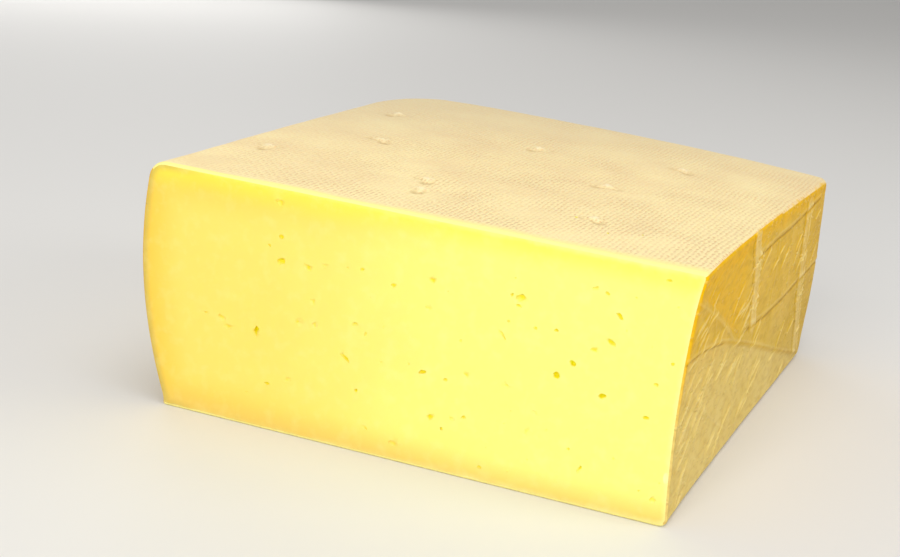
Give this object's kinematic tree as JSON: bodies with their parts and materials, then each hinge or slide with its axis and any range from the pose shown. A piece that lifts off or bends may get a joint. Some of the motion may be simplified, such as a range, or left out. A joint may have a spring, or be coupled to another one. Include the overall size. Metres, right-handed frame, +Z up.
{
  "type": "raclette half block",
  "caption": "Half of a square raclette cheese lying on its base: smooth cut face with small eyes, cloth-printed rind on top and creased rind on the walls.",
  "frame": {"origin": "middle of the base, on the ground", "axes": "+Z up through the cheese, -Y out of the cut face, +X to the right along the cut"},
  "size_m": [0.188, 0.2, 0.0863],
  "materials": {
    "cheese": "smooth yellow paste, matt cream-beige rind"
  },
  "bodies": {
    "root": {"raclette_half": "cheese"}
  },
  "joints": []
}
